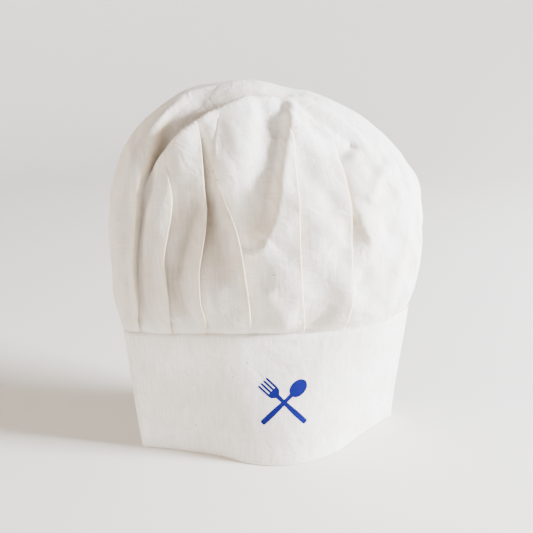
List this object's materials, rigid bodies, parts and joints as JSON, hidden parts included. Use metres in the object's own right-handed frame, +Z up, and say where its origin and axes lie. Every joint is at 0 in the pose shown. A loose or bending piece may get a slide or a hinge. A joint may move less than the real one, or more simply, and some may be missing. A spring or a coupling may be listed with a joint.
{
  "type": "chef toque",
  "caption": "Soft white cotton chef's toque with a puffed, pleated crown, a tall stiffened band and a hook-and-loop closure tab at the back.",
  "frame": {"origin": "middle of the hat's box, at the folded bottom edge of the band", "axes": "+Z up from the band's rim to the crown's peak, -Y to the front of the hat, +X to the wearer's left"},
  "size_m": [0.2646, 0.1266, 0.3103],
  "materials": {
    "band_cotton": "unbleached plain-weave cotton, pressed flat over a stiffener",
    "crown_cotton": "unbleached plain-weave cotton, soft, creamier along its folds",
    "stiffener": "bonded non-woven stiffening",
    "hook_nylon": "moulded nylon hooks on woven tape",
    "loop_nylon": "brushed nylon loops",
    "thread": "twisted polyester sewing thread",
    "label_satin": "blank woven satin"
  },
  "bodies": {
    "hat": {"band": "band_cotton", "band_stiffener": "stiffener", "crown": "crown_cotton", "loop_tape": "loop_nylon", "loop_tape_stitching": "thread", "band_seam_stitching": "thread", "slit_binding_right": "crown_cotton", "slit_binding_left": "crown_cotton", "slit_bartack": "thread", "care_label": "label_satin"},
    "tab": {"closure_tab": "band_cotton", "tab_stiffener": "stiffener", "hook_tape": "hook_nylon", "hook_tape_stitching": "thread"}
  },
  "joints": [
    {"name": "tab_fold", "type": "hinge", "parent": "hat", "child": "tab", "pos_m": [0.0017, 0.048, 0.0575], "axis": [0, 0.1293, -0.9916], "range_deg": [0, 120]}
  ]
}
